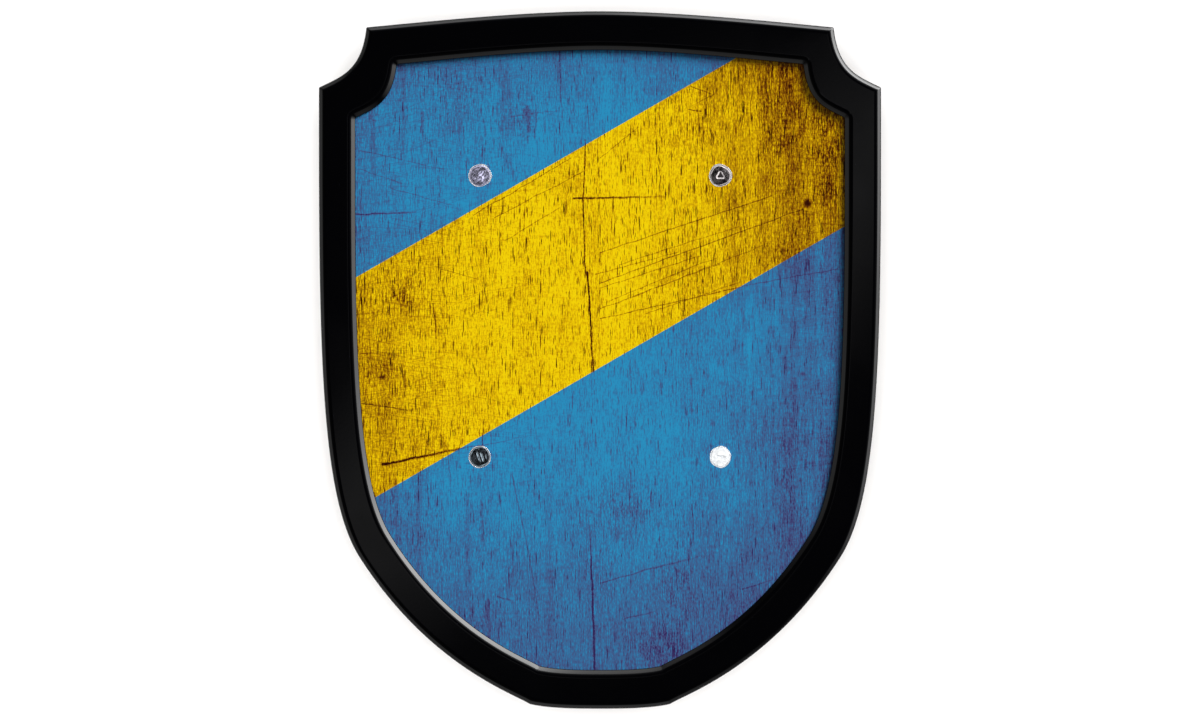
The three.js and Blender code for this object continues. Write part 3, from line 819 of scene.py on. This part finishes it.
def nickel(name, x, y, across, plate_with_painted_light, dullness):
    """Tarnished in patches on its dished face. Its pale rim is a painted highlight, and its plate colour is
    partly painted light.
    """
    finish, tree, shader, here = new_finish(name)
    handled = place(tree, SMUDGES, {"Place": here, "Patch size": 1.6, "Speck size": 0.22})
    shader.inputs["Metallic"].default_value = 1.0
    tarnished = tuple(share * 0.8 for share in plate_with_painted_light)
    face = add(tree, "Mix", {"Factor": handled["Patches"], 6: (*tarnished, 1), 7: (*plate_with_painted_light, 1)},
               data_type="RGBA")
    from_axis = add(tree, "VectorMath", {0: here, 1: (1, 1, 0), 2: (-x * 1000, -y * 1000, 0)},
                    operation="MULTIPLY_ADD")
    out = add(tree, "VectorMath", {0: from_axis.outputs[0]}, operation="LENGTH").outputs["Value"]
    # The rim's pale colour is a painted highlight.
    rim_starts = 0.87 * across * HEAD_RADIUS * 1000
    rim_highlight = fade(tree, out, rim_starts, rim_starts + 0.2)
    colour = add(tree, "Mix", {"Factor": rim_highlight, 6: face.outputs[2], 7: (0.86, 0.87, 0.89, 1)},
                 data_type="RGBA")
    tree.links.new(colour.outputs[2], shader.inputs["Base Color"])
    dull = sum_of(tree, "MULTIPLY_ADD", handled["Patches"], 0.08, dullness)
    tree.links.new(dull, shader.inputs["Roughness"])
    tree.links.new(bump(tree, handled["Specks"], 0.008), shader.inputs["Normal"])
    return finish


def rivet_profile():
    """(radius, height) round the rivet's section, from the middle of its tail to that of its head,
    with the panel's face at height 0."""
    grip = PANEL_FACE_Z - BACK_Z + STRAP_THICKNESS
    tail = [(0, -grip - TAIL_HEIGHT), (0.4, -grip - TAIL_HEIGHT), (0.66, -grip - TAIL_HEIGHT * 0.98),
            (0.8, -grip - TAIL_HEIGHT * 0.88), (0.92, -grip - TAIL_HEIGHT * 0.66),
            (0.99, -grip - TAIL_HEIGHT * 0.36), (1, -grip - TAIL_HEIGHT * 0.12), (0.985, -grip)]
    profile = [(r * TAIL_RADIUS, z) for r, z in tail]
    profile += [(SHANK_RADIUS, -grip), (SHANK_RADIUS, 0)]
    rim = [(0.985, 0), (1, 0.1), (0.998, 0.26), (0.988, 0.42), (0.97, 0.54), (0.948, 0.58),
           (0.928, 0.56), (0.912, 0.51), (0.9, 0.47), (0.888, 0.465), (0.876, 0.51), (0.86, 0.58)]
    face = [(0.82, 0.62), (0.7, 0.655), (0.62, 0.675), (0.54, 0.695), (0.46, 0.71), (0.38, 0.725),
            (0.32, 0.732), (0.27, 0.737), (0.22, 0.742), (0.17, 0.745), (0.12, 0.748), (0.07, 0.75)]
    rim += face
    profile += [(r * HEAD_RADIUS, h * HEAD_HEIGHT) for r, h in rim]
    return profile + [(0, face[-1][1] * HEAD_HEIGHT)]


def hammered(u, v, blow):
    """How far the blows have pushed the cap down at a place on it, as a share of its height."""
    radius = math.hypot(u, v)
    inside = max(0.0, 1 - (radius / 0.82) ** 6)
    down = blow["lumps"] * (0.6 + noise.noise(Vector((u * blow["size"], v * blow["size"], blow["seed"]))))
    for cx, cy, turn, wide, long, deep in blow["creases"]:
        p = (u - cx) * math.cos(turn) + (v - cy) * math.sin(turn)
        q = (v - cy) * math.cos(turn) - (u - cx) * math.sin(turn)
        down += deep * math.exp(-((p / wide) ** 2) - (q / long) ** 4)
    if blow["punch"]:
        corners = math.hypot(u - 0.02, v) * (1 + 0.22 * math.cos(3 * math.atan2(v, u - 0.02) - 1.6))
        share = max(0.0, min(1.0, (0.34 - corners) / 0.14))
        down += blow["punch"] * share * share * (3 - 2 * share)
    return max(0.0, down) * inside


def rivet_mesh(x, y, blow):
    profile = rivet_profile()
    points, faces = [], []
    for radius, z in profile:
        if radius == 0:
            points.append((x, y, PANEL_FACE_Z + z - (hammered(0, 0, blow) * HEAD_HEIGHT if z > 0 else 0)))
            continue
        for i in range(ROUND):
            turn = 2 * math.pi * i / ROUND
            u, v = math.cos(turn), math.sin(turn)
            share = radius / HEAD_RADIUS
            ragged_edge = 0.07 * noise.noise(Vector((u * 1.3, v * 1.3, blow["seed"])))
            out_of_round = blow["across"] + ragged_edge if z >= 0 and radius > SHANK_RADIUS else 1
            down = hammered(u * share, v * share, blow) * HEAD_HEIGHT if z > 0 else 0
            points.append((x + radius * u * out_of_round, y + radius * v * out_of_round,
                           PANEL_FACE_Z + z - down))
    starts = range(1, len(points) - 1, ROUND)
    for i in range(ROUND):
        j = (i + 1) % ROUND
        faces.append((0, starts[0] + j, starts[0] + i))
        faces.append((len(points) - 1, starts[-1] + i, starts[-1] + j))
        for a, b in zip(starts, starts[1:]):
            faces.append((a + i, a + j, b + j, b + i))
    return points, faces


# Each head's plate colour partly stands for the light it catches: the near white lower right one is a
# painted highlight, and the dark lower left one is painted shade.
blows = {
    ("upper", "left"): {
        "across": 0.985, "lumps": 0.13, "size": 3.2, "seed": 4.0, "punch": 0, "dull": 0.2,
        "plate_with_painted_light": (0.48, 0.47, 0.64),
        "creases": [(0.15, 0.1, 0.8, 0.12, 0.4, 0.05), (-0.2, -0.1, -0.5, 0.12, 0.35, 0.06)]},
    ("upper", "right"): {
        "across": 0.985, "lumps": 0.03, "size": 2.0, "seed": 9.0, "punch": 0.14, "dull": 0.09,
        "plate_with_painted_light": (0.46, 0.42, 0.42),
        "creases": []},
    ("lower", "left"): {
        "across": 0.955, "lumps": 0.05, "size": 1.8, "seed": 17.0, "punch": 0, "dull": 0.09,
        "plate_with_painted_light": (0.22, 0.27, 0.31),
        "creases": [(-0.12, 0.02, 0.33, 0.045, 0.5, 0.08), (0.22, -0.02, 0.3, 0.045, 0.42, 0.1),
                    (0.66, 0.1, 0.1, 0.1, 0.4, 0.12), (0, 0.7, 1.4, 0.07, 0.14, 0.1)]},
    ("lower", "right"): {
        "across": 0.91, "lumps": 0.1, "size": 1.6, "seed": 23.0, "punch": 0, "dull": 0.58,
        "plate_with_painted_light": (0.94, 0.96, 0.98),
        "creases": [(0.1, 0.02, 1.45, 0.06, 0.4, 0.3)]},
}
for (row, side), (x, y) in rivet_places.items():
    blow = blows[row, side]
    plating = nickel(f"nickel plate {row} {side}", x, y, blow["across"], blow["plate_with_painted_light"], blow["dull"])
    rivet = new_piece(f"nickel_rivet_{row}_{side}", *rivet_mesh(x, y, blow), [plating])
    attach(rivet, "root")
    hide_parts(f"rivet_{row}_{side}")


# The studio: a pale floor, a big soft light from the upper right as the picture has it, a weaker
# one all round, and a camera straight above the shield.
PICTURE_WIDTH = 1200
PICTURE_SCALE = 0.0004293
LENS = 100
SENSOR = 36

floor_reach = 12.0
floor_points = [(-floor_reach, -floor_reach, 0), (floor_reach, -floor_reach, 0),
                (floor_reach, floor_reach, 0), (-floor_reach, floor_reach, 0)]
pale, pale_tree, pale_shader, pale_here = new_finish("pale floor")
pale_shader.inputs["Base Color"].default_value = (0.84, 0.84, 0.84, 1)
pale_shader.inputs["Roughness"].default_value = 0.9
pale_shader.inputs["Specular IOR Level"].default_value = 0.0
floor = new_piece("floor", floor_points, [(0, 1, 2, 3)], [pale])
floor.visible_glossy = False

camera_height = FRAME_FACE_Z + PICTURE_WIDTH * PICTURE_SCALE * LENS / SENSOR
camera_data = bpy.data.cameras.new("camera")
camera_data.lens = LENS
camera_data.sensor_width = SENSOR
camera = bpy.data.objects.new("camera", camera_data)
camera.location = (0, 0, camera_height)
bpy.context.collection.objects.link(camera)
bpy.context.scene.camera = camera


def only_on(light, *lit):
    """The light falls on these pieces alone."""
    receivers = bpy.data.collections.new(light.name + " falls on")
    for piece in lit:
        receivers.objects.link(piece)
    light.light_linking.receiver_collection = receivers


KEY_TURN = math.radians(45)
KEY_RISE = math.radians(23)
key_data = bpy.data.lights.new("key light", "SUN")
key_data.energy = 6.5
key_data.angle = math.radians(20)
key = bpy.data.objects.new("key light", key_data)
key.rotation_euler = (math.pi / 2 - KEY_RISE, 0, KEY_TURN + math.pi / 2)
key.visible_glossy = False
bpy.context.collection.objects.link(key)
shield_pieces = [piece for piece in bpy.context.scene.objects if piece.type == "MESH" and piece != floor]
only_on(key, *shield_pieces)
# The frame alone shades the panel, as in the picture, where the rivets throw no shadow
shading = bpy.data.collections.new("key light is stopped by")
shading.objects.link(frame_piece)
key.light_linking.blocker_collection = shading

# A ring of soft lights overhead, for the rivets, brightest to the upper right
RING_RISE = math.radians(57)
ring_rivets = [piece for piece in shield_pieces if piece.name.startswith("nickel_rivet")]
for step in range(8):
    turn = math.radians(45 * step)
    ring_data = bpy.data.lights.new(f"ring light {step}", "SUN")
    ring_data.angle = math.radians(34)
    ring_data.energy = 0.35 + 0.16 * math.cos(turn - KEY_TURN)
    ring = bpy.data.objects.new(f"ring light {step}", ring_data)
    ring.rotation_euler = (math.pi / 2 - RING_RISE, 0, turn + math.pi / 2)
    bpy.context.collection.objects.link(ring)
    only_on(ring, *ring_rivets)

# The lower right rivet's head catches the light from straight above, and shows white
glint_data = bpy.data.lights.new("glint light", "SUN")
glint_data.angle = math.radians(60)
glint_data.energy = 0.45
glint = bpy.data.objects.new("glint light", glint_data)
bpy.context.collection.objects.link(glint)
only_on(glint, bpy.data.objects["nickel_rivet_lower_right"])

wash_data = bpy.data.lights.new("floor wash", "SUN")
wash_data.angle = math.radians(57)
wash_data.energy = 4.5
wash = bpy.data.objects.new("floor wash", wash_data)
wash.visible_glossy = False
bpy.context.collection.objects.link(wash)
only_on(wash, floor)

room = bpy.data.worlds.new("room")
room.use_nodes = True
bpy.context.scene.world = room
air = room.node_tree
air.nodes.clear()
towards = add(air, "TexCoord").outputs["Generated"]
axes = add(air, "SeparateXYZ", {0: towards})
dx, dy, dz = axes.outputs
# Level light for the frame's chamfers: strongest at the upper right, none to either side of it
upper_right = sum_of(air, "MULTIPLY", sum_of(air, "ADD", dx, dy), 0.7071)
level_ramp = add(air, "ValToRGB", {0: fade(air, upper_right, -1, 1, kind="LINEAR")})
elements = level_ramp.color_ramp.elements
level_stops = ((0, 0.04), (0.15, 0.05), (0.3, 0.035), (0.48, 0.002), (0.55, 0.006), (0.7, 0.08),
               (0.85, 0.19), (1, 1.1))
while len(elements) < len(level_stops):
    elements.new(0.5)
for element, (position, level) in zip(elements, level_stops):
    element.position = position
    element.color = (level, level, level * 1.02, 1)
level_light = sum_of(air, "MULTIPLY", level_ramp.outputs[0], 9.0)
level_band = fade(air, dz, 0.15, 0.09)
rising = fade(air, dz, 0.9, 0.1, 0, 0.12)
lying = sum_of(air, "MULTIPLY", sum_of(air, "MAXIMUM", level_band, rising), fade(air, dz, -0.16, -0.1))
# A long soft light overhead, seen in the frame's face at its right and at its lower left
strip_turn = math.radians(35.5)
strip_half_width = 0.068
overhead = sum_of(air, "MAXIMUM", dz, 0.2)
height = camera_height - FRAME_FACE_Z
reach = sum_of(air, "DIVIDE", height, overhead)
met = add(air, "VectorMath", {0: towards, "Scale": reach}, operation="SCALE").outputs[0]
turned = add(air, "VectorRotate", {"Vector": met, "Angle": -strip_turn}, rotation_type="Z_AXIS")
in_strip = add(air, "SeparateXYZ", {0: turned.outputs[0]})
lengthwise = fade(air, sum_of(air, "ABSOLUTE", in_strip.outputs["X"]), 0.9, 0.13)
crosswise = fade(air, sum_of(air, "ABSOLUTE", in_strip.outputs["Y"]), strip_half_width, 0)
sheens = sum_of(air, "MULTIPLY", sum_of(air, "MULTIPLY", lengthwise, crosswise), 0.28)
mirrored_light = sum_of(air, "ADD", sum_of(air, "MULTIPLY", level_light, lying), sheens)
# Below it all the pale floor is mirrored, in the frame's outer wall
mirrored_light = sum_of(air, "ADD", mirrored_light, fade(air, dz, -0.1, -0.16, 0.01, 0.5))
rays = add(air, "LightPath")
soft = add(air, "Background", {"Color": (1, 1, 1, 1), "Strength": 0.2})
seen = add(air, "Background", {"Color": (1, 1, 1, 1), "Strength": 1.05})
glossy = add(air, "Background", {"Color": (1, 1, 1, 1), "Strength": mirrored_light})
one = add(air, "MixShader", {0: rays.outputs["Is Camera Ray"], 1: soft.outputs[0], 2: seen.outputs[0]})
both = add(air, "MixShader", {0: rays.outputs["Is Glossy Ray"], 1: one.outputs[0], 2: glossy.outputs[0]})
surface = add(air, "OutputWorld", {"Surface": both.outputs[0]})
bpy.context.scene.view_settings.view_transform = "Standard"
